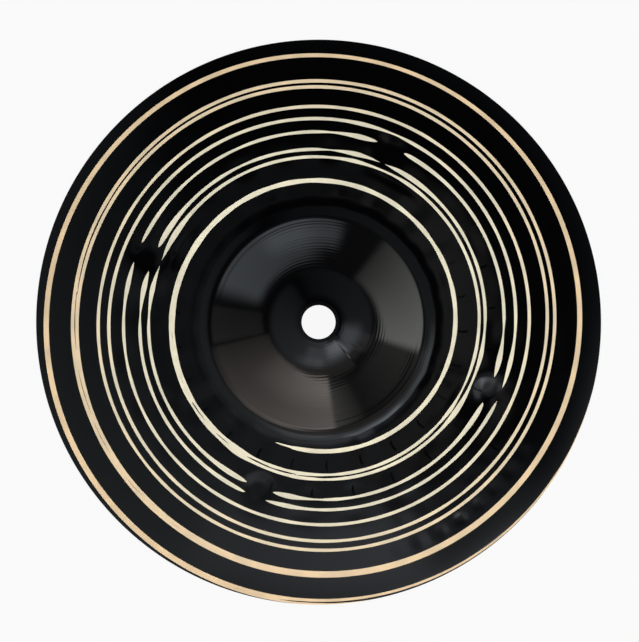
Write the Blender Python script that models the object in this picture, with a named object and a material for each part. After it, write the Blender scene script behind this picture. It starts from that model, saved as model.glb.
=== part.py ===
"""Splash cymbal: one disc of bronze, pressed, hammered and turned, standing bell up on its rim.

A cymbal has no separate pieces, so it is one object. Its section runs from the centre hole to
the rim as a row of arcs, each tangent to the next: a level seat round the hole, a crown, the
dome of the bell, the crease and the fillet at its foot, and the long bow. The section is spun round the
axis, and then four deep hammer blows are set into the bow.

Metres, +Z up. The origin is on the axis at the level that the rim stands on.
"""

import math

import bmesh
import bpy

# Driving dimensions of the outline
DIAMETER = 0.2032  # over the rim: 8 inches
HOLE_DIAMETER = 0.012  # takes the rod of a cymbal stand with its sleeve
BELL_DIAMETER = 0.0908  # where the foot of the bell runs out into the bow

# Arcs of the section
SEAT_WIDTH = 0.0010  # level ring round the hole, on both faces, that the felts bear on
CROWN_RADIUS = 0.003  # rounds the seat into the dome
DOME_RADIUS = 0.056  # the bell is a cap of a sphere centred on the axis
CREASE_RADIUS = 0.0028  # tight hollow arc round the bottom of the dome
CREASE_END_DEGREES = 21.0  # slope where the crease opens into the fillet
FILLET_RADIUS = 0.021  # wide hollow arc between the crease and the bow
BOW_RADIUS = 0.590  # the bow falls along one long arc
BOW_START_DEGREES = 1.0  # slope of the bow where it leaves the bell

# Metal thickness, square to the surface
HOLE_THICKNESS = 0.0009
RIM_THICKNESS = 0.0006
RIM_FLAT = 0.0008  # level ring turned under the rim, on which the cymbal stands

# Deep hammer blows: angle from +X towards +Y in degrees, and distance out from the bell's foot
BLOWS = (
    (67.6, 0.0206),
    (158.6, 0.0197),
    (250.0, 0.0180),
    (339.0, 0.0189),
)
BLOW_RADIUS = 0.0070  # of the hollow, measured to the level of the bow round it
BLOW_DEPTH = 0.0006
BLOW_REACH = 2.2  # in hollow radii: beyond this the raised lip of a blow has died away

# Fineness of the mesh
SEGMENTS = 96
CROWN_STEPS = 1
DOME_STEPS = 6
CREASE_STEPS = 2
FILLET_STEPS = 3
BOW_STEPS = 10

SHARP_DEGREES = 40.0  # only the corners of the hole and the rim turn by more than this


def clear_scene():
    for obj in list(bpy.data.objects):
        bpy.data.objects.remove(obj, do_unlink=True)


def coated_bronze():
    """Gloss black coating, as the whole cymbal wears it."""
    material = bpy.data.materials.new("black_coated_bronze")
    material.use_nodes = True
    shader = material.node_tree.nodes["Principled BSDF"]
    shader.inputs["Base Color"].default_value = (0.006, 0.006, 0.007, 1.0)
    shader.inputs["Roughness"].default_value = 0.18
    shader.inputs["Metallic"].default_value = 0.0
    return material


def add_arc(section, radius, end_slope, steps):
    """Carries the section on along an arc to end_slope, in radians below the level.

    A radius above zero rounds the metal over, and one below zero hollows it.
    """
    distance, height, slope = section[-1]
    for step in range(1, steps + 1):
        angle = slope + (end_slope - slope) * step / steps
        section.append(
            (
                distance + radius * (math.sin(angle) - math.sin(slope)),
                height - radius * (math.cos(slope) - math.cos(angle)),
                angle,
            )
        )


def upper_section():
    """Points (distance from the axis, height, slope) of the upper face, from the hole to the rim."""
    seat_edge = HOLE_DIAMETER / 2 + SEAT_WIDTH
    bell_edge = BELL_DIAMETER / 2
    bow_start = math.radians(BOW_START_DEGREES)

    # The crown meets a sphere that is centred on the axis.
    crown_slope = math.asin(seat_edge / (DOME_RADIUS - CROWN_RADIUS))
    # The dome, the crease and the fillet together reach the bell's edge.
    fillet_start = math.radians(CREASE_END_DEGREES)
    fillet_width = FILLET_RADIUS * (math.sin(fillet_start) - math.sin(bow_start))
    crease_end = bell_edge - fillet_width + CREASE_RADIUS * math.sin(fillet_start)
    dome_slope = math.asin(crease_end / (DOME_RADIUS + CREASE_RADIUS))
    # The bow reaches the rim.
    bow_width = DIAMETER / 2 - bell_edge
    rim_slope = math.asin(math.sin(bow_start) + bow_width / BOW_RADIUS)

    section = [(HOLE_DIAMETER / 2, 0.0, 0.0), (seat_edge, 0.0, 0.0)]
    add_arc(section, CROWN_RADIUS, crown_slope, CROWN_STEPS)
    add_arc(section, DOME_RADIUS, dome_slope, DOME_STEPS)
    add_arc(section, -CREASE_RADIUS, fillet_start, CREASE_STEPS)
    add_arc(section, -FILLET_RADIUS, bow_start, FILLET_STEPS)
    add_arc(section, BOW_RADIUS, rim_slope, BOW_STEPS)
    return section


def thickness_at(distance):
    """The metal thins evenly from the hole to the rim."""
    share = (distance - HOLE_DIAMETER / 2) / (DIAMETER / 2 - HOLE_DIAMETER / 2)
    return HOLE_THICKNESS + (RIM_THICKNESS - HOLE_THICKNESS) * share


def closed_section():
    """The outline of the metal as (distance, height), with the rim's flat at height zero."""
    upper = upper_section()
    lower = []
    for distance, height, slope in upper[:-1]:
        thickness = thickness_at(distance)
        lower.append(
            (distance - thickness * math.sin(slope), height - thickness * math.cos(slope))
        )

    # Under the rim the lower face stops at the flat, which runs out level to the edge.
    rim, rim_height, rim_slope = upper[-1]
    lip = RIM_FLAT - RIM_THICKNESS * math.sin(rim_slope)
    floor = rim_height - RIM_THICKNESS * math.cos(rim_slope) + lip * math.tan(rim_slope)
    lower.append((rim - RIM_FLAT, floor))
    lower.append((rim, floor))

    outline = [(distance, height) for distance, height, _ in upper] + lower[::-1]
    return [(distance, height - floor) for distance, height in outline]


def blow_centres():
    """Where the four blows land, in plan."""
    centres = []
    for degrees, from_bell in BLOWS:
        distance = BELL_DIAMETER / 2 + from_bell
        angle = math.radians(degrees)
        centres.append((distance * math.cos(angle), distance * math.sin(angle)))
    return centres


def blow_offset(point, centres):
    """How far the blows move a point of either face: down in a hollow, up in the lip round it."""
    offset = 0.0
    for x, y in centres:
        away = math.hypot(point.x - x, point.y - y) / BLOW_RADIUS
        if away < BLOW_REACH:
            offset -= BLOW_DEPTH * (1.0 - away**2) * math.exp(-(away**2))
    return offset


def near_a_blow(edge, centres):
    reach = BLOW_RADIUS * BLOW_REACH
    middle = (edge.verts[0].co + edge.verts[1].co) / 2
    return any(math.hypot(middle.x - x, middle.y - y) < reach for x, y in centres)


def make_cymbal():
    shape = bmesh.new()
    verts = [shape.verts.new((distance, 0.0, height)) for distance, height in closed_section()]
    edges = [
        shape.edges.new((vert, verts[(index + 1) % len(verts)]))
        for index, vert in enumerate(verts)
    ]
    bmesh.ops.spin(
        shape,
        geom=verts + edges,
        cent=(0.0, 0.0, 0.0),
        axis=(0.0, 0.0, 1.0),
        angle=2 * math.pi,
        steps=SEGMENTS,
        use_merge=True,
    )

    # Both faces are cut finer round each blow, so that its hollow comes out round.
    centres = blow_centres()
    struck = [edge for edge in shape.edges if near_a_blow(edge, centres)]
    bmesh.ops.subdivide_edges(shape, edges=struck, cuts=1, use_grid_fill=True)
    for vert in shape.verts:
        vert.co.z += blow_offset(vert.co, centres)

    bmesh.ops.recalc_face_normals(shape, faces=shape.faces)
    mesh = bpy.data.meshes.new("cymbal")
    shape.to_mesh(mesh)
    shape.free()
    mesh.shade_smooth()
    mesh.set_sharp_from_angle(angle=math.radians(SHARP_DEGREES))
    mesh.materials.append(coated_bronze())

    cymbal = bpy.data.objects.new("cymbal", mesh)
    bpy.context.scene.collection.objects.link(cymbal)
    return cymbal


clear_scene()
make_cymbal()
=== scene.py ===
# %% [markdown]
# A splash cymbal is one thin disc of bronze. It is pressed into its shape, hammered, coated
# gloss black, and last of all turned on a lathe with a hand-fed tool, which leaves two spirals
# of bare bronze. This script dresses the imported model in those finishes. It loads the model
# first, because every size below is either read from it or repeats a size that it was made with.

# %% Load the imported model
import math

import bmesh
import bpy
import numpy as np
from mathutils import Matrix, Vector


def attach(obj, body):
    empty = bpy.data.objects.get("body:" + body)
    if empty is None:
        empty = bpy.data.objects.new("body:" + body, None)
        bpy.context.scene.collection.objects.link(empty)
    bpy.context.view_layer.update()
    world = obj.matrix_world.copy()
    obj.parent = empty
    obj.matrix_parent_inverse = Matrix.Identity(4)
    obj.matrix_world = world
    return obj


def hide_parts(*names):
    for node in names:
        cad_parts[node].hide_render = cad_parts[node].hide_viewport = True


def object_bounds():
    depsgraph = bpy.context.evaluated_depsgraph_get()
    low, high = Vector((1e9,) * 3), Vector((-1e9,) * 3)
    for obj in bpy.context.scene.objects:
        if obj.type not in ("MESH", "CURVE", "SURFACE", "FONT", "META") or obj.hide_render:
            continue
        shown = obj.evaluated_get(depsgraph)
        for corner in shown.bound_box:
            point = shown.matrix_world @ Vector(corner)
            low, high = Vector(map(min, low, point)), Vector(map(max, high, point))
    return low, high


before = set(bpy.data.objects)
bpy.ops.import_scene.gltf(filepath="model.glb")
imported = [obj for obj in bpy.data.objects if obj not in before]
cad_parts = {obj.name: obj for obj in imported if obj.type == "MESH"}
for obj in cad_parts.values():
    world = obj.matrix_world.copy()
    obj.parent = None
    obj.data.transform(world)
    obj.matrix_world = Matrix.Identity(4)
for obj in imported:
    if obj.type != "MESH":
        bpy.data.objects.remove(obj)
cad_low, cad_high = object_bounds()
RIM = cad_high.x
HEIGHT = cad_high.z
MM = 0.001
print(f"cymbal {2 * RIM / MM:.1f} mm over the rim, {HEIGHT / MM:.1f} mm high")

# %% [markdown]
# Two helpers serve every cell. Blender's shaders work in linear light, while a colour picked on
# a screen is an sRGB hex value, so one function turns the second into the first. The other adds
# a node of any kind to any tree, with its settings, its values and its links.


# %% Helpers for colours and nodes
def linear(hex_colour):
    """A linear RGBA colour from an sRGB hex value such as '#1a2b3c'."""
    channels = [int(hex_colour[place : place + 2], 16) / 255 for place in (1, 3, 5)]
    low_end = 0.04045
    return [
        c / 12.92 if c <= low_end else ((c + 0.055) / 1.055) ** 2.4 for c in channels
    ] + [1.0]


def add(tree, kind, inputs=None, **settings):
    """Adds one node. Each input, by name or number, takes a value or another node's output."""
    node = tree.nodes.new(kind)
    for name, value in settings.items():
        setattr(node, name, value)
    for key, value in (inputs or {}).items():
        if isinstance(value, bpy.types.NodeSocket):
            tree.links.new(value, node.inputs[key])
        else:
            node.inputs[key].default_value = value
    return node


# %% [markdown]
# The camera looks straight down the cymbal's axis from 1.2 m. That distance comes from the
# centre hole: it stands 20 mm nearer the camera than the rim does, and looks a little larger for
# it. The lens is chosen so that the rim has the size that it has in the picture.

# %% Camera straight above the cymbal
PICTURE_WIDTH, PICTURE_HEIGHT = 639, 642
RIM_PIXELS = 282.35  # radius of the rim in the picture
CENTRE_PIXEL = (318.6, 322.1)  # where the axis meets the picture
CAMERA_DISTANCE = 1.2  # above the rim
SENSOR = 36 * MM

metres_per_pixel = RIM / RIM_PIXELS
camera_data = bpy.data.cameras.new("camera")
camera_data.sensor_width = SENSOR / MM
camera_data.lens = SENSOR * RIM_PIXELS / PICTURE_HEIGHT * CAMERA_DISTANCE / RIM / MM
camera = bpy.data.objects.new("camera", camera_data)
camera.location = (
    (PICTURE_WIDTH / 2 - CENTRE_PIXEL[0]) * metres_per_pixel,
    (CENTRE_PIXEL[1] - PICTURE_HEIGHT / 2) * metres_per_pixel,
    CAMERA_DISTANCE,
)
bpy.context.scene.collection.objects.link(camera)
bpy.context.scene.camera = camera
bpy.context.scene.view_settings.view_transform = "Standard"
print(f"lens {camera_data.lens:.0f} mm")

# %% [markdown]
# A gloss black surface shows nothing but what it mirrors, so the light round it is part of its
# look. The bell mirrors tall soft panels that stand round the table, with dark gaps between
# them, and the flat bow mirrors the ceiling. Everything is painted on the world by direction: a
# nearly dark room, and panels that each span some azimuths and some elevations. A panel's
# brightness and its top change evenly from one side to the other, and its edges are soft.

# %% Panels round the table and over it
PANELS = {
    # name: azimuth from and to, brightness at each, softness of each side in degrees,
    # elevation of the foot, elevation of the top at each side, softness of foot and top, colour
    "window": (-15.5, 51, 3.5, 0.45, 7, 6, 2, 40.5, 46.5, 2, 7, "#fefff8"),
    "back_wall": (92, 161, 0.82, 1.65, 24, 14, 8, 41, 43, 3, 9, "#ebf6fd"),
    "back_lamp": (76, 124, 1.25, 0.9, 10, 16, 9, 27, 27, 6, 14, "#ebf6fd"),
    "back_skirting": (78, 162, 0.4, 0.55, 12, 8, -4, 8, 8, 2, 3, "#ebf6fd"),
    "left_frame": (170.5, 191, 0.17, 0.3, 1.5, 1.5, 5, 47, 49, 3, 2, "#fdfdff"),
    "front_curtain": (193, 243, 0.4, 1.65, 2, 0.1, 0, 51.7, 53.2, 1, 1.2, "#fff4eb"),
    "front_curtain_end": (243, 279.5, 1.65, 2.75, 0.1, 2, 0, 52.2, 47.6, 1, 1.5, "#fff4eb"),
    "curtain_top": (216, 279.5, 0.2, 2.0, 14, 2, 30, 53.2, 47.6, 24, 1.5, "#fff4eb"),
    "front_rail": (236, 276, 0.25, 1.0, 10, 8, 56.5, 62, 62, 3, 3, "#eff8ff"),
    "front_table": (279.5, 298, 1.2, 0.1, 1, 8, 6, 41, 41, 2, 4, "#fffdf6"),
    "front_right": (290, 342, 0.03, 0.5, 6, 5, 9, 42, 42, 2, 6, "#fffdf6"),
    "right_ceiling": (-25, 112, 0.42, 0.09, 22, 20, 49, 71, 71, 4, 8, "#e7f5fb"),
    "left_ceiling": (124, 247, 0.16, 0.72, 14, 10, 54, 73, 73, 6, 4, "#e7f5fb"),
    "high_left": (128, 244, 0.06, 0.58, 18, 10, 73, 81, 81, 4, 6, "#e7f5fb"),
    "front_beam": (246, 346, 0.45, 0.45, 8, 8, 47, 58, 58, 5, 6, "#fffaf2"),
    "front_ceiling": (248, 354, 1.5, 1.3, 14, 24, 57.5, 71.6, 71.6, 8, 0.8, "#eff8ff"),
    "lamp": (284, 316, 1.7, 3.6, 12, 6, 62, 71.6, 71.6, 9, 0.8, "#f0f8ff"),
    "side_lamp": (323, 347, 0.7, 0.3, 5, 10, 60, 69, 69, 6, 4, "#f0f8ff"),
    "high_front": (242, 294, 0.8, 1.4, 12, 6, 72.6, 80, 80, 3, 5, "#f0f5ff"),
    "high_right": (294, 324, 0.38, 0.3, 6, 8, 72.6, 79, 79, 3, 5, "#f0f5ff"),
    "over_right": (-75, 53, 0.32, 0.35, 6, 4, 81.5, 85.5, 85.5, 2, 2, "#fcfcfa"),
    "over_left": (53, 218, 0.17, 0.18, 4, 6, 82.4, 85.5, 85.5, 2, 2, "#f4faff"),
    "over_front": (218, 285, 0.3, 0.36, 6, 6, 81.5, 85.5, 85.5, 2, 2, "#f0f5ff"),
    "zenith_left": (126, 245, 0.16, 0.4, 14, 8, 85.5, 91, 91, 2, 1, "#f0f5ff"),
    "zenith_front": (245, 292, 0.5, 0.6, 8, 10, 85.5, 91, 91, 2, 1, "#f0f5ff"),
    "zenith_right": (-40, 50, 0.16, 0.2, 20, 20, 84.5, 91, 91, 2, 1, "#fcfcfa"),
}
DIM_ROOM = (0.08, 0.01)  # between the panels: below and above
DIM_SPAN = (44, 54)  # elevations between which the one turns into the other
ROOM_LIGHT = 1.12  # strength of it all

world = bpy.data.worlds.new("studio")
bpy.context.scene.world = world
world.use_nodes = True
tree = world.node_tree
tree.nodes.clear()
direction = add(tree, "ShaderNodeTexCoord").outputs["Generated"]
axes = add(tree, "ShaderNodeSeparateXYZ", {0: direction})
azimuth = add(
    tree, "ShaderNodeMath", {0: axes.outputs["Y"], 1: axes.outputs["X"]}, operation="ARCTAN2"
)
azimuth = add(tree, "ShaderNodeMath", {0: azimuth.outputs[0]}, operation="DEGREES").outputs[0]
elevation = add(tree, "ShaderNodeMath", {0: axes.outputs["Z"]}, operation="ARCSINE")
elevation = add(
    tree, "ShaderNodeMath", {0: elevation.outputs[0]}, operation="DEGREES"
).outputs[0]
light = add(
    tree,
    "ShaderNodeMapRange",
    {
        "Value": elevation,
        "From Min": DIM_SPAN[0],
        "From Max": DIM_SPAN[1],
        "To Min": DIM_ROOM[0],
        "To Max": DIM_ROOM[1],
    },
).outputs["Result"]

for panel in PANELS.values():
    start, end, first, last, start_edge, end_edge = panel[:6]
    foot, first_top, last_top, foot_edge, top_edge, colour = panel[6:]
    middle, half = (start + end) / 2, (end - start) / 2
    away = add(tree, "ShaderNodeMath", {0: azimuth, 1: middle}, operation="SUBTRACT").outputs[0]
    away = add(
        tree, "ShaderNodeMath", {0: away, 1: 180.0, 2: -180.0}, operation="WRAP"
    ).outputs[0]
    strength = add(
        tree,
        "ShaderNodeMapRange",
        {"Value": away, "From Min": -half, "From Max": half, "To Min": first, "To Max": last},
    ).outputs["Result"]
    top = add(
        tree,
        "ShaderNodeMapRange",
        {
            "Value": away,
            "From Min": -half,
            "From Max": half,
            "To Min": first_top,
            "To Max": last_top,
        },
    ).outputs["Result"]
    below_top = add(tree, "ShaderNodeMath", {0: top, 1: elevation}, operation="SUBTRACT").outputs[0]
    for value, begins, full in (
        (away, -half - start_edge / 2, -half + start_edge / 2),
        (away, half + end_edge / 2, half - end_edge / 2),
        (elevation, foot - foot_edge / 2, foot + foot_edge / 2),
        (below_top, -top_edge / 2, top_edge / 2),
    ):
        fade = add(
            tree,
            "ShaderNodeMapRange",
            {"Value": value, "From Min": begins, "From Max": full},
            interpolation_type="SMOOTHSTEP",
        ).outputs["Result"]
        strength = add(
            tree, "ShaderNodeMath", {0: strength, 1: fade}, operation="MULTIPLY"
        ).outputs[0]
    glow = add(
        tree,
        "ShaderNodeVectorMath",
        {0: linear(colour)[:3], "Scale": strength},
        operation="SCALE",
    ).outputs[0]
    light = add(tree, "ShaderNodeVectorMath", {0: light, 1: glow}, operation="ADD").outputs[0]
print(len(PANELS), "panels")

# %% [markdown]
# The camera sees none of that light. It sees an even pale backdrop, which the floor carries on.
# Most of what the camera sees of the floor is its own paleness, and the rest is the light that
# falls on it, so that the cymbal's soft shadow stays on it.

# %% Backdrop and floor
BACKDROP = "#fafafa"
FLOOR_HALF = 3.0
SHADOW_SHARE = 0.03

lit = add(tree, "ShaderNodeBackground", {"Color": light, "Strength": ROOM_LIGHT})
seen = add(tree, "ShaderNodeBackground", {"Color": linear(BACKDROP), "Strength": 1.0})
ray = add(tree, "ShaderNodeLightPath")
either = add(
    tree,
    "ShaderNodeMixShader",
    {0: ray.outputs["Is Camera Ray"], 1: lit.outputs[0], 2: seen.outputs[0]},
)
add(tree, "ShaderNodeOutputWorld", {"Surface": either.outputs[0]})

floor_mesh = bpy.data.meshes.new("floor")
corners = [(-FLOOR_HALF, -FLOOR_HALF), (FLOOR_HALF, -FLOOR_HALF)]
corners += [(FLOOR_HALF, FLOOR_HALF), (-FLOOR_HALF, FLOOR_HALF)]
floor_mesh.from_pydata([(x, y, 0.0) for x, y in corners], [], [(0, 1, 2, 3)])
floor = bpy.data.objects.new("floor", floor_mesh)
bpy.context.scene.collection.objects.link(floor)

paper = bpy.data.materials.new("matt_white_paper")
paper.use_nodes = True
tree = paper.node_tree
tree.nodes.clear()
matt = add(tree, "ShaderNodeBsdfDiffuse", {"Color": linear("#f2f2f2")})
glow = add(tree, "ShaderNodeEmission", {"Color": linear(BACKDROP), "Strength": 1.0})
ray = add(tree, "ShaderNodeLightPath")
glow_share = add(
    tree,
    "ShaderNodeMath",
    {0: ray.outputs["Is Camera Ray"], 1: 1.0 - SHADOW_SHARE},
    operation="MULTIPLY",
)
mixed = add(
    tree,
    "ShaderNodeMixShader",
    {0: glow_share.outputs[0], 1: matt.outputs[0], 2: glow.outputs[0]},
)
add(tree, "ShaderNodeOutputMaterial", {"Surface": mixed.outputs[0]})
floor_mesh.materials.append(paper)

# %% [markdown]
# The section of the metal is a row of arcs from the centre hole to the rim, each tangent to the
# next, so the turned disc has no crease except at its two edges. The bell is a cap of a sphere.
# A tight crease and a fillet of three arcs carry it into the bow, which is nearly flat. The
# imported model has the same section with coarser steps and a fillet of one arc.

# %% Section of the metal
HOLE_RADIUS = 6.0 * MM
SEAT_WIDTH = 1.0 * MM
CROWN_ARC = 3.0 * MM
DOME_ARC = 56.0 * MM
DOME_END = 37.4 * MM  # distance from the axis at which the sphere ends
CREASE_ARC = 0.6 * MM
CREASE_END = math.radians(21.5)
FILLET_ARCS = (
    # radius, slope at its end in degrees
    (27.0 * MM, 13.8),
    (11.5 * MM, 5.0),
    (60.0 * MM, 1.2),
)
BOW_ARC = 590.0 * MM
HOLE_THICKNESS = 0.9 * MM
RIM_THICKNESS = 0.6 * MM
RIM_FLAT = 0.8 * MM


def add_arc(points, radius, end_slope, spacing):
    """Carries a section on along an arc to end_slope, with points no further apart than spacing."""
    distance, height, slope = points[-1]
    steps = math.ceil(abs(radius * (end_slope - slope)) / spacing)
    for step in range(1, steps + 1):
        angle = slope + (end_slope - slope) * step / steps
        points.append(
            (
                distance + radius * (math.sin(angle) - math.sin(slope)),
                height - radius * (math.cos(slope) - math.cos(angle)),
                angle,
            )
        )


def face_section(bell_spacing, bow_spacing):
    """(distance, height, slope) along the upper face, from the hole to the rim."""
    seat_edge = HOLE_RADIUS + SEAT_WIDTH
    crown_slope = math.asin(seat_edge / (DOME_ARC - CROWN_ARC))
    points = [(HOLE_RADIUS, HEIGHT, 0.0), (seat_edge, HEIGHT, 0.0)]
    add_arc(points, CROWN_ARC, crown_slope, bell_spacing / 8)
    add_arc(points, DOME_ARC, math.asin(DOME_END / DOME_ARC), bell_spacing)
    add_arc(points, -CREASE_ARC, CREASE_END, bell_spacing / 8)
    for radius, end_degrees in FILLET_ARCS:
        add_arc(points, -radius, math.radians(end_degrees), bell_spacing / 2)
    fillet_end, _, bow_start = points[-1]
    rim_slope = math.asin(math.sin(bow_start) + (RIM - fillet_end) / BOW_ARC)
    add_arc(points, BOW_ARC, rim_slope, bow_spacing)
    return points


def under(point):
    """The point of the lower face that lies square under a point of the upper one."""
    distance, height, slope = point
    share = (distance - HOLE_RADIUS) / (RIM - HOLE_RADIUS)
    thickness = HOLE_THICKNESS + (RIM_THICKNESS - HOLE_THICKNESS) * share
    return distance - thickness * math.sin(slope), height - thickness * math.cos(slope)


upper = face_section(bell_spacing=1.4 * MM, bow_spacing=0.44 * MM)
lower = [under(point) for point in face_section(4.0 * MM, 3.0 * MM)[:-1]]
section = [(distance, height) for distance, height, _ in upper]
section += [(RIM, 0.0), (RIM - RIM_FLAT, 0.0)] + lower[::-1]
print(len(upper), "points above,", len(section) - len(upper), "below")

# %% [markdown]
# Four deep hammer blows sit a quarter turn apart. Each one is a hollow, with the metal that it
# pushed aside swelling up before and behind it. Before them, a hammering machine went round the
# bow in rows of light blows, which give the turned cuts their uneven width. On one side it also
# struck two rows of smaller, harder blows. Each swelling or hollow has a width, measured to where
# it has fallen to a third, and a height.

# %% Hammer blows
DEEP_BLOWS = (
    # degrees from +X towards +Y, distance from the axis, slope of the metal there, which falls
    # towards these degrees, share of the tail
    (67.4, 65.4 * MM, 0.0, 0.0, 1.0),
    (158.9, 64.4 * MM, 0.087, 80.0, 1.0),
    (250.2, 61.9 * MM, 0.0, 0.0, 0.2),
    (338.3, 64.4 * MM, 0.107, 286.0, 0.6),
)
LEAN_WIDTH = 8.5 * MM  # a blow that was struck askew leans the metal round it
DEEP_PARTS = {
    # name: place round and outwards from the blow, width round and outwards, height, in mm
    "hollow": (0.0, 1.1, 3.5, 3.5, -0.6),
    "tail of the hollow": (-7.9, -8.2, 10.3, 1.65, -0.11),
    "swelling before": (-12.7, -2.9, 6.1, 6.8, 0.079),
    "swelling behind": (11.2, 0.3, 3.8, 7.3, 0.058),
    "last dip": (21.4, 0.0, 3.3, 4.4, -0.044),
}
DEEPEST = 0.22 * MM  # the hollow's bottom is flat, because no part of it is deeper than this
LIGHT_ROWS = (
    # distance from the axis, blows in a turn, degrees of the first, depth, width outwards
    (45.0 * MM, 24, 4.8, 0.066 * MM, 3.1 * MM),
    (50.1 * MM, 24, 4.4, 0.063 * MM, 3.7 * MM),
    (55.5 * MM, 24, 4.0, 0.058 * MM, 3.4 * MM),
    (62.0 * MM, 24, 11.3, 0.065 * MM, 3.5 * MM),
    (69.8 * MM, 24, 10.2, 0.057 * MM, 3.7 * MM),
    (79.6 * MM, 24, 8.2, 0.048 * MM, 3.7 * MM),
    (88.8 * MM, 24, 8.3, 0.035 * MM, 3.3 * MM),
)
HARD_ROWS = (
    # distance from the axis, places in a turn, degrees of the first, greatest depth, width
    (76.5 * MM, 50, 4.6, 0.1 * MM, 2.6 * MM),
    (86.9 * MM, 66, 0.3, 0.17 * MM, 2.5 * MM),
)
SOFTEST = 0.3  # least share of that depth
HARD_SIDE = (310.0, 17.0)  # degrees of the side where the machine struck harder, and its width
LIGHT_WIDTH = 0.3  # width round, in steps from one blow to the next
DEPTH_SCATTER = 0.7
DING = (311.5, 15.6 * MM)  # a ding in the bell beside the hole, degrees and distance
DING_SHARP = 0.45 * MM  # it begins at a sharp edge, and dies away between these distances round
DING_END = (2.6 * MM, 5.2 * MM)
DING_WIDTH = 4.0 * MM  # outwards
DING_HEIGHT = 0.2 * MM


def polar(tree, place):
    """Angle from +X towards +Y, in radians, and distance from the axis, of a position."""
    axes = add(tree, "ShaderNodeSeparateXYZ", {0: place})
    angle = add(
        tree, "ShaderNodeMath", {0: axes.outputs["Y"], 1: axes.outputs["X"]}, operation="ARCTAN2"
    )
    flat = add(
        tree, "ShaderNodeVectorMath", {0: place, 1: (1.0, 1.0, 0.0)}, operation="MULTIPLY"
    )
    length = add(tree, "ShaderNodeVectorMath", {0: flat.outputs["Vector"]}, operation="LENGTH")
    return angle.outputs[0], length.outputs["Value"]


def step_in_row(tree, angle, count, first, row_seed):
    """Steps from a place to the nearest item of a row, and a chance value of that item."""
    steps = add(
        tree,
        "ShaderNodeMath",
        {0: angle, 1: count / math.tau, 2: -first * count / 360},
        operation="MULTIPLY_ADD",
    ).outputs[0]
    nearest = add(tree, "ShaderNodeMath", {0: steps}, operation="ROUND").outputs[0]
    away = add(tree, "ShaderNodeMath", {0: steps, 1: nearest}, operation="SUBTRACT").outputs[0]
    number = add(
        tree, "ShaderNodeMath", {0: nearest, 1: float(count), 2: 0.0}, operation="WRAP"
    ).outputs[0]
    seed = add(tree, "ShaderNodeMath", {0: number, 1: 100.5 * row_seed}, operation="ADD")
    chance = add(
        tree, "ShaderNodeTexWhiteNoise", {"W": seed.outputs[0]}, noise_dimensions="1D"
    ).outputs["Value"]
    return away, chance


def swelling(tree, round_share, out_share, height):
    """A soft mound, from the two distances to its middle in its own widths."""
    square = add(tree, "ShaderNodeMath", {0: round_share, 1: 2.0}, operation="POWER").outputs[0]
    other = add(tree, "ShaderNodeMath", {0: out_share, 1: 2.0}, operation="POWER").outputs[0]
    square = add(tree, "ShaderNodeMath", {0: square, 1: other}, operation="ADD").outputs[0]
    fall = add(tree, "ShaderNodeMath", {0: square, 1: -1.0}, operation="MULTIPLY").outputs[0]
    fall = add(tree, "ShaderNodeMath", {0: fall}, operation="EXPONENT").outputs[0]
    return add(tree, "ShaderNodeMath", {0: fall, 1: height}, operation="MULTIPLY").outputs[0]


blows_mesh = bpy.data.meshes.new("deep_blows")
blows_mesh.from_pydata(
    [
        (distance * math.cos(math.radians(degrees)), distance * math.sin(math.radians(degrees)), 0.0)
        for degrees, distance, _, _, _ in DEEP_BLOWS
    ],
    [],
    [],
)
leans = blows_mesh.attributes.new("lean", "FLOAT_VECTOR", "POINT")
for item, (_, _, slope, towards, _) in zip(leans.data, DEEP_BLOWS):
    towards = math.radians(towards)
    item.vector = (-slope * math.cos(towards), -slope * math.sin(towards), 0.0)
tails = blows_mesh.attributes.new("tail", "FLOAT", "POINT")
for item, (_, _, _, _, share) in zip(tails.data, DEEP_BLOWS):
    item.value = share
blows_object = bpy.data.objects.new("deep_blows", blows_mesh)
print(len(DEEP_BLOWS), "deep blows and", sum(row[1] for row in LIGHT_ROWS), "light ones")

# %% [markdown]
# The disc is a shape that follows a rule, so Geometry Nodes make it. A flat grid has one column
# for each step round the axis and one row for each point of the section. Every vertex looks up
# its point of the section by its row and is turned round the axis by its column. Then it looks
# up the nearest deep blow and its nearest blow in each row of light ones, and moves up or down.

# %% Turned and hammered disc
SEGMENTS = 400
BELL_OFF_CENTRE = (-0.3 * MM, -0.4 * MM)  # how far the bell's foot was pressed off the axis
OFF_FROM, OFF_FULL = 14 * MM, 37 * MM  # distances over which the bell leaves the axis
OFF_AGAIN, OFF_TO = 46 * MM, 80 * MM  # and over which the bow comes back to it

section_mesh = bpy.data.meshes.new("section")
section_mesh.from_pydata([(distance, 0.0, height) for distance, height in section], [], [])
section_object = bpy.data.objects.new("section", section_mesh)

tree = bpy.data.node_groups.new("turned_and_hammered_disc", "GeometryNodeTree")
sockets = {}
for name, kind in (
    ("Section", "NodeSocketObject"),
    ("Points in section", "NodeSocketInt"),
    ("Steps round", "NodeSocketInt"),
    ("Deep blows", "NodeSocketObject"),
    ("Finish", "NodeSocketMaterial"),
):
    sockets[name] = tree.interface.new_socket(name, in_out="INPUT", socket_type=kind).identifier
tree.interface.new_socket("Disc", in_out="OUTPUT", socket_type="NodeSocketGeometry")
given = add(tree, "NodeGroupInput").outputs

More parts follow.
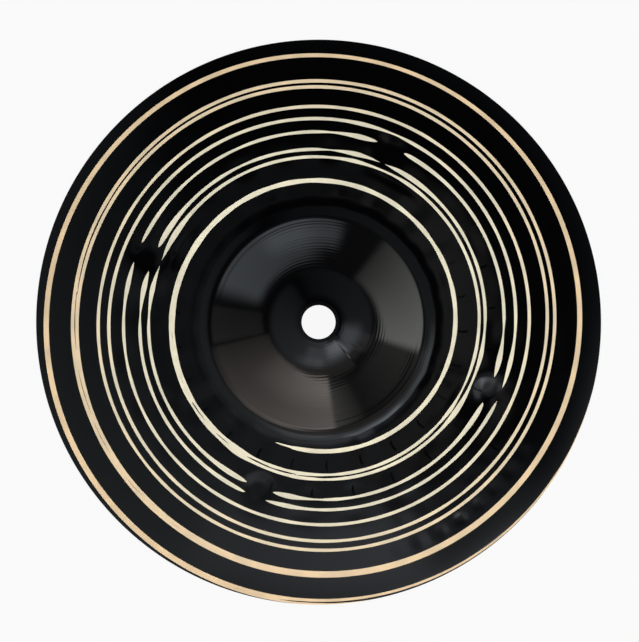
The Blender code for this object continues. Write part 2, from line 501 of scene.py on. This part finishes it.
columns = add(
    tree, "ShaderNodeMath", {0: given["Steps round"], 1: 1.0}, operation="ADD"
).outputs[0]
rows = add(
    tree, "ShaderNodeMath", {0: given["Points in section"], 1: 1.0}, operation="ADD"
).outputs[0]
grid = add(
    tree,
    "GeometryNodeMeshGrid",
    {"Size X": 1.0, "Size Y": 1.0, "Vertices X": columns, "Vertices Y": rows},
).outputs["Mesh"]
index = add(tree, "GeometryNodeInputIndex").outputs[0]
column = add(tree, "ShaderNodeMath", {0: index, 1: rows}, operation="DIVIDE")
column = add(tree, "ShaderNodeMath", {0: column.outputs[0]}, operation="FLOOR").outputs[0]
row = add(tree, "ShaderNodeMath", {0: index, 1: rows}, operation="MODULO").outputs[0]
row = add(
    tree, "ShaderNodeMath", {0: row, 1: given["Points in section"]}, operation="MODULO"
).outputs[0]
turn = add(
    tree, "ShaderNodeMath", {0: column, 1: given["Steps round"]}, operation="DIVIDE"
).outputs[0]
turn = add(tree, "ShaderNodeMath", {0: turn, 1: math.tau}, operation="MULTIPLY").outputs[0]
place = add(tree, "GeometryNodeInputPosition").outputs[0]
chain = add(
    tree, "GeometryNodeObjectInfo", {"Object": given["Section"]}, transform_space="ORIGINAL"
).outputs["Geometry"]
point = add(
    tree,
    "GeometryNodeSampleIndex",
    {"Geometry": chain, "Value": place, "Index": row},
    data_type="FLOAT_VECTOR",
    domain="POINT",
).outputs["Value"]
turned = add(
    tree,
    "ShaderNodeVectorRotate",
    {"Vector": point, "Axis": (0.0, 0.0, 1.0), "Angle": turn},
    rotation_type="AXIS_ANGLE",
).outputs["Vector"]
radius = add(tree, "ShaderNodeSeparateXYZ", {0: point}).outputs["X"]
rising = add(
    tree,
    "ShaderNodeMapRange",
    {"Value": radius, "From Min": OFF_FROM, "From Max": OFF_FULL},
    interpolation_type="SMOOTHSTEP",
).outputs["Result"]
falling = add(
    tree,
    "ShaderNodeMapRange",
    {"Value": radius, "From Min": OFF_TO, "From Max": OFF_AGAIN},
    interpolation_type="SMOOTHSTEP",
).outputs["Result"]
share = add(tree, "ShaderNodeMath", {0: rising, 1: falling}, operation="MULTIPLY").outputs[0]
aside = add(
    tree, "ShaderNodeVectorMath", {0: (*BELL_OFF_CENTRE, 0.0), "Scale": share}, operation="SCALE"
).outputs[0]
turned = add(tree, "ShaderNodeVectorMath", {0: turned, 1: aside}, operation="ADD").outputs[0]
shape = add(
    tree, "GeometryNodeSetPosition", {"Geometry": grid, "Position": turned}
).outputs["Geometry"]
shape = add(
    tree, "GeometryNodeMergeByDistance", {"Geometry": shape, "Distance": 0.001 * MM}
).outputs["Geometry"]

angle, distance = polar(tree, place)
in_plan = add(
    tree, "ShaderNodeVectorMath", {0: place, 1: (1.0, 1.0, 0.0)}, operation="MULTIPLY"
).outputs["Vector"]
blows = add(
    tree, "GeometryNodeObjectInfo", {"Object": given["Deep blows"]}, transform_space="ORIGINAL"
).outputs["Geometry"]
nearest = add(
    tree,
    "GeometryNodeSampleNearest",
    {"Geometry": blows, "Sample Position": in_plan},
    domain="POINT",
).outputs["Index"]
blow = add(
    tree,
    "GeometryNodeSampleIndex",
    {"Geometry": blows, "Value": place, "Index": nearest},
    data_type="FLOAT_VECTOR",
    domain="POINT",
).outputs["Value"]
lean = add(
    tree, "GeometryNodeInputNamedAttribute", {"Name": "lean"}, data_type="FLOAT_VECTOR"
).outputs["Attribute"]
lean = add(
    tree,
    "GeometryNodeSampleIndex",
    {"Geometry": blows, "Value": lean, "Index": nearest},
    data_type="FLOAT_VECTOR",
    domain="POINT",
).outputs["Value"]
tail = add(
    tree, "GeometryNodeInputNamedAttribute", {"Name": "tail"}, data_type="FLOAT"
).outputs["Attribute"]
tail = add(
    tree,
    "GeometryNodeSampleIndex",
    {"Geometry": blows, "Value": tail, "Index": nearest},
    data_type="FLOAT",
    domain="POINT",
).outputs["Value"]
from_blow = add(
    tree, "ShaderNodeVectorMath", {0: in_plan, 1: blow}, operation="SUBTRACT"
).outputs["Vector"]
rise = add(
    tree, "ShaderNodeVectorMath", {0: from_blow, 1: lean}, operation="DOT_PRODUCT"
).outputs["Value"]
from_blow = add(
    tree, "ShaderNodeVectorMath", {0: from_blow}, operation="LENGTH"
).outputs["Value"]
from_blow = add(
    tree, "ShaderNodeMath", {0: from_blow, 1: LEAN_WIDTH}, operation="DIVIDE"
).outputs[0]
lean = swelling(tree, from_blow, 0.0, rise)
blow_angle, blow_distance = polar(tree, blow)
outwards = add(
    tree, "ShaderNodeMath", {0: distance, 1: blow_distance}, operation="SUBTRACT"
).outputs[0]
onwards = add(tree, "ShaderNodeMath", {0: angle, 1: blow_angle}, operation="SUBTRACT").outputs[0]
onwards = add(
    tree, "ShaderNodeMath", {0: onwards, 1: math.pi, 2: -math.pi}, operation="WRAP"
).outputs[0]
onwards = add(
    tree, "ShaderNodeMath", {0: onwards, 1: blow_distance}, operation="MULTIPLY"
).outputs[0]

deep_relief = 0.0
for name, (round_place, out_place, round_width, out_width, height) in DEEP_PARTS.items():
    round_share = add(
        tree,
        "ShaderNodeMath",
        {0: onwards, 1: 1.0 / (round_width * MM), 2: -round_place / round_width},
        operation="MULTIPLY_ADD",
    ).outputs[0]
    out_share = add(
        tree,
        "ShaderNodeMath",
        {0: outwards, 1: 1.0 / (out_width * MM), 2: -out_place / out_width},
        operation="MULTIPLY_ADD",
    ).outputs[0]
    mound = swelling(tree, round_share, out_share, height * MM)
    if name == "tail of the hollow":
        mound = add(tree, "ShaderNodeMath", {0: mound, 1: tail}, operation="MULTIPLY").outputs[0]
    deep_relief = add(
        tree, "ShaderNodeMath", {0: mound, 1: deep_relief}, operation="ADD"
    ).outputs[0]
deep_relief = add(
    tree, "ShaderNodeMath", {0: deep_relief, 1: 1.0 / DEEPEST}, operation="MULTIPLY"
).outputs[0]
deep_relief = add(tree, "ShaderNodeMath", {0: deep_relief}, operation="TANH").outputs[0]
deep_relief = add(
    tree, "ShaderNodeMath", {0: deep_relief, 1: DEEPEST}, operation="MULTIPLY"
).outputs[0]

light_relief = 0.0
for row, (row_distance, count, first, depth, out_width) in enumerate(LIGHT_ROWS):
    steps, chance = step_in_row(tree, angle, count, first, row + 1)
    round_share = add(
        tree, "ShaderNodeMath", {0: steps, 1: LIGHT_WIDTH}, operation="DIVIDE"
    ).outputs[0]
    out_share = add(
        tree,
        "ShaderNodeMath",
        {0: distance, 1: 1.0 / out_width, 2: -row_distance / out_width},
        operation="MULTIPLY_ADD",
    ).outputs[0]
    height = add(
        tree,
        "ShaderNodeMapRange",
        {
            "Value": chance,
            "To Min": -depth * (1 - DEPTH_SCATTER),
            "To Max": -depth * (1 + DEPTH_SCATTER),
        },
    ).outputs["Result"]
    mound = swelling(tree, round_share, out_share, height)
    light_relief = add(
        tree, "ShaderNodeMath", {0: mound, 1: light_relief}, operation="ADD"
    ).outputs[0]

side = add(
    tree, "ShaderNodeMath", {0: angle, 1: math.radians(HARD_SIDE[0])}, operation="SUBTRACT"
).outputs[0]
side = add(
    tree, "ShaderNodeMath", {0: side, 1: math.pi, 2: -math.pi}, operation="WRAP"
).outputs[0]
side = add(
    tree, "ShaderNodeMath", {0: side, 1: math.radians(HARD_SIDE[1])}, operation="DIVIDE"
).outputs[0]
hard_relief = 0.0
for row, (row_distance, count, first, depth, width) in enumerate(HARD_ROWS):
    steps, chance = step_in_row(tree, angle, count, first, row + 21)
    round_share = add(
        tree,
        "ShaderNodeMath",
        {0: steps, 1: math.tau * row_distance / count / width},
        operation="MULTIPLY",
    ).outputs[0]
    out_share = add(
        tree,
        "ShaderNodeMath",
        {0: distance, 1: 1.0 / width, 2: -row_distance / width},
        operation="MULTIPLY_ADD",
    ).outputs[0]
    height = add(
        tree, "ShaderNodeMapRange", {"Value": chance, "To Min": -SOFTEST * depth, "To Max": -depth}
    ).outputs["Result"]
    height = swelling(tree, side, 0.0, height)
    mound = swelling(tree, round_share, out_share, height)
    hard_relief = add(
        tree, "ShaderNodeMath", {0: mound, 1: hard_relief}, operation="ADD"
    ).outputs[0]

ding_degrees, ding_distance = DING
past_edge = add(
    tree,
    "ShaderNodeMath",
    {0: angle, 1: math.radians(ding_degrees - 360)},
    operation="SUBTRACT",
).outputs[0]
past_edge = add(
    tree, "ShaderNodeMath", {0: past_edge, 1: ding_distance}, operation="MULTIPLY"
).outputs[0]
height = add(
    tree,
    "ShaderNodeMapRange",
    {
        "Value": past_edge,
        "From Min": -DING_SHARP,
        "From Max": DING_SHARP,
        "To Max": DING_HEIGHT,
    },
    interpolation_type="SMOOTHSTEP",
).outputs["Result"]
height = add(
    tree,
    "ShaderNodeMapRange",
    {
        "Value": past_edge,
        "From Min": DING_END[0],
        "From Max": DING_END[1],
        "To Min": height,
        "To Max": 0.0,
    },
    interpolation_type="SMOOTHSTEP",
).outputs["Result"]
out_share = add(
    tree,
    "ShaderNodeMath",
    {0: distance, 1: 1.0 / DING_WIDTH, 2: -ding_distance / DING_WIDTH},
    operation="MULTIPLY_ADD",
).outputs[0]
ding = swelling(tree, 0.0, out_share, height)

relief = add(
    tree, "ShaderNodeMath", {0: deep_relief, 1: light_relief}, operation="ADD"
).outputs[0]
for part in (ding, lean, hard_relief):
    relief = add(tree, "ShaderNodeMath", {0: relief, 1: part}, operation="ADD").outputs[0]
for stored, value in (
    ("relief", relief),
    ("deep_relief", deep_relief),
    ("light_relief", light_relief),
):
    shape = add(
        tree,
        "GeometryNodeStoreNamedAttribute",
        {"Geometry": shape, "Name": stored, "Value": value},
        data_type="FLOAT",
        domain="POINT",
    ).outputs["Geometry"]
relief = add(
    tree, "GeometryNodeInputNamedAttribute", {"Name": "relief"}, data_type="FLOAT"
).outputs["Attribute"]
push = add(tree, "ShaderNodeCombineXYZ", {"Z": relief}).outputs[0]
shape = add(
    tree, "GeometryNodeSetPosition", {"Geometry": shape, "Offset": push}
).outputs["Geometry"]
shape = add(tree, "GeometryNodeRealizeInstances", {"Geometry": shape}).outputs["Geometry"]
shape = add(
    tree, "GeometryNodeSetMaterial", {"Geometry": shape, "Material": given["Finish"]}
).outputs["Geometry"]
add(tree, "NodeGroupOutput", {"Disc": shape})
print(len(tree.nodes), "nodes in the disc's tree")

# %% [markdown]
# The coating is a gloss black lacquer a few hundredths of a millimetre thick, sprayed on metal
# that had been turned all over with a fine round tool. It follows those fine rings, which comb
# the edges of the reflections on some parts of the bell. The hammer's edge left short nicks in
# it, in rows on the bow. A nick has no clean surface that could mirror the room, so it is drawn
# as a place where the coating mirrors hardly anything.

# %% Coating
COAT_RING = 1.06 * MM  # from ring to ring: the real ones are finer than the picture could show
RING_HEIGHT = 0.018 * MM
ON_CROWN = 0.15  # share of that height round the hole
CROWN_TO_BELL = (17 * MM, 25 * MM)  # distances over which the rings grow to their full height
BELL_TO_BOW = (36 * MM, 42 * MM)  # and over which they die away
RING_ELSEWHERE = 0.08  # share of the height outside the combed parts
WANDER_SCALE = 900.0  # the rings are unevenly spaced over about a millimetre
WANDER = 5.0  # radians
COMBED_PARTS = (
    # degrees of the middle, degrees from there to where the rings have fallen to a third
    (90.0, 33.0),
    (278.0, 26.0),
    (342.0, 16.0),
)
NICK_ROWS = (
    # distance from the axis, places in a turn, degrees of the first, degrees from and to
    (51.7 * MM, 26, 10.0, 175.0, 395.0),
    (61.8 * MM, 26, 4.6, 245.0, 380.0),
    (77.6 * MM, 26, 5.9, 320.0, 350.0),
)
NICK_HALF_LENGTH = 2.3 * MM
NICK_HALF_WIDTH = 0.42 * MM
NICK_BEND = 0.5 * MM  # how far the ends of a nick curve round
NICK_STRENGTH = (0.45, 1.1)  # of the faintest nick and of the strongest
NICK_ENDS = 0.4  # square of the share of its half length from which a nick fades
MIRRORS = 0.29  # specular level: lacquer bends light less than the default of 0.5 has it
IN_A_NICK = 0.02

coating = bpy.data.materials.new("gloss_black_lacquer")
coating.use_nodes = True
tree = coating.node_tree
shader = tree.nodes["Principled BSDF"]
shader.inputs["Base Color"].default_value = linear("#020203")
shader.inputs["Roughness"].default_value = 0.1

# Fine rings, unevenly deep, which die away towards the hole and where the bell ends
angle, distance = polar(tree, add(tree, "ShaderNodeTexCoord").outputs["Object"])
wander = add(
    tree, "ShaderNodeTexNoise", {"W": distance, "Scale": WANDER_SCALE}, noise_dimensions="1D"
).outputs[0]
phase = add(
    tree, "ShaderNodeMath", {0: distance, 1: math.tau / COAT_RING}, operation="MULTIPLY"
).outputs[0]
phase = add(
    tree, "ShaderNodeMath", {0: wander, 1: WANDER, 2: phase}, operation="MULTIPLY_ADD"
).outputs[0]
rings = add(tree, "ShaderNodeMath", {0: phase}, operation="SINE").outputs[0]
rings = add(tree, "ShaderNodeMath", {0: rings, 1: wander}, operation="MULTIPLY").outputs[0]
off_crown = add(
    tree,
    "ShaderNodeMapRange",
    {
        "Value": distance,
        "From Min": CROWN_TO_BELL[0],
        "From Max": CROWN_TO_BELL[1],
        "To Min": RING_HEIGHT * ON_CROWN,
        "To Max": RING_HEIGHT,
    },
).outputs["Result"]
on_bell = add(
    tree,
    "ShaderNodeMapRange",
    {
        "Value": distance,
        "From Min": BELL_TO_BOW[0],
        "From Max": BELL_TO_BOW[1],
        "To Min": off_crown,
        "To Max": 0.0,
    },
).outputs["Result"]
rings = add(tree, "ShaderNodeMath", {0: rings, 1: on_bell}, operation="MULTIPLY").outputs[0]
combed = RING_ELSEWHERE
for middle, width in COMBED_PARTS:
    away = add(
        tree, "ShaderNodeMath", {0: angle, 1: math.radians(middle)}, operation="SUBTRACT"
    ).outputs[0]
    away = add(
        tree, "ShaderNodeMath", {0: away, 1: math.pi, 2: -math.pi}, operation="WRAP"
    ).outputs[0]
    away = add(
        tree, "ShaderNodeMath", {0: away, 1: math.radians(width)}, operation="DIVIDE"
    ).outputs[0]
    part = swelling(tree, away, 0.0, 1.0)
    combed = add(tree, "ShaderNodeMath", {0: part, 1: combed}, operation="ADD").outputs[0]
rings = add(tree, "ShaderNodeMath", {0: rings, 1: combed}, operation="MULTIPLY").outputs[0]
bump = add(
    tree, "ShaderNodeBump", {"Height": rings, "Strength": 1.0, "Distance": 1.0}
).outputs[0]
tree.links.new(bump, shader.inputs["Normal"])

# A nick is a short bent dash along the radius. A chance value makes some fainter than others.
nicked = 0.0
for row, (row_distance, count, first, row_start, row_end) in enumerate(NICK_ROWS):
    steps, chance = step_in_row(tree, angle, count, first, row + 11)
    along = add(
        tree,
        "ShaderNodeMath",
        {0: distance, 1: 1.0 / NICK_HALF_LENGTH, 2: -row_distance / NICK_HALF_LENGTH},
        operation="MULTIPLY_ADD",
    ).outputs[0]
    square = add(tree, "ShaderNodeMath", {0: along, 1: 2.0}, operation="POWER").outputs[0]
    across = add(
        tree,
        "ShaderNodeMath",
        {0: steps, 1: math.tau * row_distance / count},
        operation="MULTIPLY",
    ).outputs[0]
    across = add(
        tree, "ShaderNodeMath", {0: square, 1: -NICK_BEND, 2: across}, operation="MULTIPLY_ADD"
    ).outputs[0]
    across = add(
        tree, "ShaderNodeMath", {0: across, 1: NICK_HALF_WIDTH}, operation="DIVIDE"
    ).outputs[0]
    row_middle = math.radians((row_start + row_end) / 2)
    from_middle = add(
        tree, "ShaderNodeMath", {0: angle, 1: row_middle}, operation="SUBTRACT"
    ).outputs[0]
    from_middle = add(
        tree, "ShaderNodeMath", {0: from_middle, 1: math.pi, 2: -math.pi}, operation="WRAP"
    ).outputs[0]
    from_middle = add(
        tree, "ShaderNodeMath", {0: from_middle}, operation="ABSOLUTE"
    ).outputs[0]
    inside = add(
        tree,
        "ShaderNodeMath",
        {0: from_middle, 1: math.radians(row_end - row_start) / 2},
        operation="LESS_THAN",
    ).outputs[0]
    strength = add(
        tree,
        "ShaderNodeMapRange",
        {"Value": chance, "To Min": NICK_STRENGTH[0], "To Max": NICK_STRENGTH[1]},
    ).outputs["Result"]
    strength = add(
        tree, "ShaderNodeMath", {0: strength, 1: inside}, operation="MULTIPLY"
    ).outputs[0]
    ends = add(
        tree,
        "ShaderNodeMapRange",
        {"Value": square, "From Min": NICK_ENDS, "To Min": strength, "To Max": 0.0},
    ).outputs["Result"]
    nick = swelling(tree, across, 0.0, ends)
    nicked = add(tree, "ShaderNodeMath", {0: nick, 1: nicked}, operation="ADD").outputs[0]
level = add(
    tree,
    "ShaderNodeMapRange",
    {"Value": nicked, "To Min": MIRRORS, "To Max": IN_A_NICK},
).outputs["Result"]
tree.links.new(level, shader.inputs["Specular IOR Level"])

# %% [markdown]
# Where the tool has been, cymbal bronze shows: copper with a fifth of tin, which is paler and
# yellower than copper. The cut is covered in marks far finer than a tenth of a millimetre, which
# spread the light so widely that it looks almost matt. They are drawn coarser here, as rings
# that show. The metal is palest beside the bell, and has a warmer tone towards the rim.

# %% Bronze
TURNED_RING = 0.3 * MM
TURNED_HEIGHT = 0.002 * MM
PATCH_SCALE = 120.0  # patches of about 8 mm
PATCH_TINT = (0.935, 1.055)  # of the darkest patch and of the palest
WARMER = (74 * MM, 104 * MM)  # distances over which the tone turns warmer
WARMER_UNEVEN = 14 * MM  # by which the patches shift that
BESIDE_BELL = 1.05  # tint of the palest cut, beside the bell
BELL_END, BOW_BEGIN = 52 * MM, 60 * MM

bronze = bpy.data.materials.new("turned_bronze")
bronze.use_nodes = True
tree = bronze.node_tree
shader = tree.nodes["Principled BSDF"]
shader.inputs["Metallic"].default_value = 1.0
shader.inputs["Roughness"].default_value = 0.8
place = add(tree, "ShaderNodeTexCoord").outputs["Object"]
_, distance = polar(tree, place)
grain = add(tree, "ShaderNodeTexNoise", {"Vector": place, "Scale": PATCH_SCALE}).outputs[0]
uneven = add(
    tree, "ShaderNodeMath", {0: grain, 1: WARMER_UNEVEN, 2: distance}, operation="MULTIPLY_ADD"
).outputs[0]
outer = add(
    tree,
    "ShaderNodeMapRange",
    {"Value": uneven, "From Min": WARMER[0], "From Max": WARMER[1]},
    interpolation_type="SMOOTHSTEP",
).outputs["Result"]
tint = add(
    tree,
    "ShaderNodeMix",
    {"Factor": outer, 6: linear("#f2eddc"), 7: linear("#f1dec0")},
    data_type="RGBA",
).outputs[2]
patches = add(
    tree,
    "ShaderNodeMapRange",
    {
        "Value": grain,
        "From Min": 0.35,
        "From Max": 0.65,
        "To Min": PATCH_TINT[0],
        "To Max": PATCH_TINT[1],
    },
).outputs["Result"]
beside_bell = add(
    tree,
    "ShaderNodeMapRange",
    {
        "Value": distance,
        "From Min": BELL_END,
        "From Max": BOW_BEGIN,
        "To Min": BESIDE_BELL,
        "To Max": 1.0,
    },
).outputs["Result"]
patches = add(
    tree, "ShaderNodeMath", {0: patches, 1: beside_bell}, operation="MULTIPLY"
).outputs[0]
tint = add(
    tree, "ShaderNodeVectorMath", {0: tint, "Scale": patches}, operation="SCALE"
).outputs[0]
tree.links.new(tint, shader.inputs["Base Color"])
wave = add(
    tree, "ShaderNodeMath", {0: distance, 1: math.tau / TURNED_RING}, operation="MULTIPLY"
).outputs[0]
wave = add(tree, "ShaderNodeMath", {0: wave}, operation="SINE").outputs[0]
bump = add(
    tree, "ShaderNodeBump", {"Height": wave, "Strength": 1.0, "Distance": TURNED_HEIGHT}
).outputs[0]
tree.links.new(bump, shader.inputs["Normal"])

# %% [markdown]
# The tree is run on an empty object, and its result becomes a plain mesh.

# %% Run the tree
host = bpy.data.objects.new("host", bpy.data.meshes.new("host"))
bpy.context.scene.collection.objects.link(host)
modifier = host.modifiers.new("disc", "NODES")
modifier.node_group = bpy.data.node_groups["turned_and_hammered_disc"]
for name, value in (
    ("Section", section_object),
    ("Points in section", len(section)),
    ("Steps round", SEGMENTS),
    ("Deep blows", blows_object),
    ("Finish", coating),
):
    modifier[sockets[name]] = value
shown = host.evaluated_get(bpy.context.evaluated_depsgraph_get())
disc_mesh = bpy.data.meshes.new_from_object(shown)
bpy.data.objects.remove(host)
for helper in (section_object, blows_object):
    bpy.data.objects.remove(helper)
print(len(disc_mesh.vertices), "vertices,", len(disc_mesh.polygons), "faces")

# %% [markdown]
# The cuts are made as the lathe makes them. A pointed tool travels outwards, a little below the
# even surface, while the disc turns round a centre that is half a millimetre off its own. Where
# the hammered metal stands above the tool's flanks it is cut away, so a cut is wide on a swelling
# and comes to a point beside a hollow. There were two passes with different feeds, from one
# start, and the hand held the second back a little in its first turn. Close to the rim each tool
# slowed and rose, so its cut is narrower there. The margin is how far the metal stands above the
# tool.

# %% Spiral cuts
CHUCK = (0.54 * MM, 0.05 * MM)  # centre that the disc turned round
START = 248.0 / 360  # both passes begin here, in turns from +X towards +Y
PASSES = (
    # distance out at the start, its growth with turns, turns squared and turns cubed, held back,
    # turn from which the tool rises, and its loss of feed from there
    (45.638 * MM, 8.528 * MM, 0.1374 * MM, -0.0085 * MM, 0.0, 5.97, 3.9 * MM),
    (46.166 * MM, 9.244 * MM, 0.6279 * MM, -0.0578 * MM, 0.5 * MM, 4.86, 0.3 * MM),
)
RISE = 0.25 * MM  # in a turn, where the tool rises
HELD_AT, HELD_WIDTH = 0.557, 0.45  # turns
CUT_DEPTH = 0.092 * MM
DEEPER_OUTSIDE = 0.01 * MM  # the thin metal near the rim springs up at the tool
DEEPER_FROM, DEEPER_TO = 85 * MM, 93 * MM
FLANK = 0.154  # rise of the tool's flank in a unit of width
RUN_IN = 0.033  # turns over which the tool sinks to its depth
MOST_TURNS = 7  # past the rim
LIGHT_SHARE = 0.3  # the sheet gives under the tool, which evens out the light blows

points = np.empty(len(disc_mesh.vertices) * 3, np.float32)
disc_mesh.vertices.foreach_get("co", points)
points = points.reshape(-1, 3).astype(float)
heights = {}
for name in ("relief", "deep_relief", "light_relief"):
    values = np.empty(len(points), np.float32)
    disc_mesh.attributes[name].data.foreach_get("value", values)
    heights[name] = values.astype(float)
distance = np.hypot(points[:, 0], points[:, 1])
upper_height = np.interp(distance, [p[0] for p in upper], [p[1] for p in upper])
flat_height = points[:, 2] - heights["relief"]
on_top = flat_height > upper_height - 0.5 * RIM_THICKNESS

from_chuck = points[:, :2] - CHUCK
out = np.hypot(from_chuck[:, 0], from_chuck[:, 1])
phase = (np.arctan2(from_chuck[:, 1], from_chuck[:, 0]) / math.tau - START) % 1.0
relief = heights["deep_relief"] + LIGHT_SHARE * heights["light_relief"]
margin = np.full(len(points), -1.0)
for start, feed, growth, slowing, held, rising_from, lost_feed in PASSES:
    for whole_turns in range(MOST_TURNS):
        turns = phase + whole_turns
        path = start + feed * turns + growth * turns**2 + slowing * turns**3
        path -= held * np.exp(-(((turns - HELD_AT) / HELD_WIDTH) ** 2))
        rising = np.clip(turns - rising_from, 0, None)
        path -= lost_feed * rising
        outside = np.clip((out - DEEPER_FROM) / (DEEPER_TO - DEEPER_FROM), 0, 1)
        depth = CUT_DEPTH + DEEPER_OUTSIDE * outside
        depth -= RISE * rising
        sunk = depth * np.clip(turns / RUN_IN, 0, 1)
        margin = np.maximum(margin, relief + sunk - FLANK * abs(out - path))
margin[~on_top] = -1.0
layer = disc_mesh.attributes.new("margin", "FLOAT", "POINT")
layer.data.foreach_set("value", margin.astype(np.float32))
print(f"{np.mean(margin[on_top] > 0) * 100:.0f}% of the points on top lie in a cut")

# %% [markdown]
# The coating's edge along a cut is sharp, so the mesh is split along it. Every edge of the mesh
# that the line crosses gets a vertex there, the new vertices of a face are joined, and each face
# takes the finish of its own side.

# %% Split the mesh along the cuts
GROOVE = 0.3  # the tool takes off less metal than its margin, because the sheet gives
KEEP_OFF = 0.02  # share of an edge that a new vertex stays away from its ends
SHARP = math.radians(40.0)  # the edges of the hole and the rim are sharper than this

disc_mesh.materials.clear()
for finish in (coating, bronze):
    disc_mesh.materials.append(finish)
shape = bmesh.new()
shape.from_mesh(disc_mesh)
depth_of = shape.verts.layers.float["margin"]
crossed = [
    edge for edge in shape.edges if edge.verts[0][depth_of] * edge.verts[1][depth_of] < 0
]
fresh = []
for edge in crossed:
    first, second = edge.verts
    share = first[depth_of] / (first[depth_of] - second[depth_of])
    _, vert = bmesh.utils.edge_split(edge, first, min(max(share, KEEP_OFF), 1 - KEEP_OFF))
    vert[depth_of] = 0.0
    fresh.append(vert)
bmesh.ops.connect_verts(shape, verts=fresh)
for face in shape.faces:
    face.smooth = True
    face.material_index = int(sum(vert[depth_of] for vert in face.verts) > 0)
for vert in shape.verts:
    vert.co.z = min(vert.co.z - GROOVE * max(vert[depth_of], 0.0), HEIGHT)
bmesh.ops.recalc_face_normals(shape, faces=shape.faces)
shape.to_mesh(disc_mesh)
shape.free()
disc_mesh.set_sharp_from_angle(angle=SHARP)
print(len(fresh), "vertices on the coating's edge,", len(disc_mesh.polygons), "faces")

# %% [markdown]
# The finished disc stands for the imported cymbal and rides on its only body.

# %% Hand the disc over
disc = bpy.data.objects.new("splash_cymbal_disc", disc_mesh)
bpy.context.scene.collection.objects.link(disc)
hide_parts("cymbal")
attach(disc, "root")
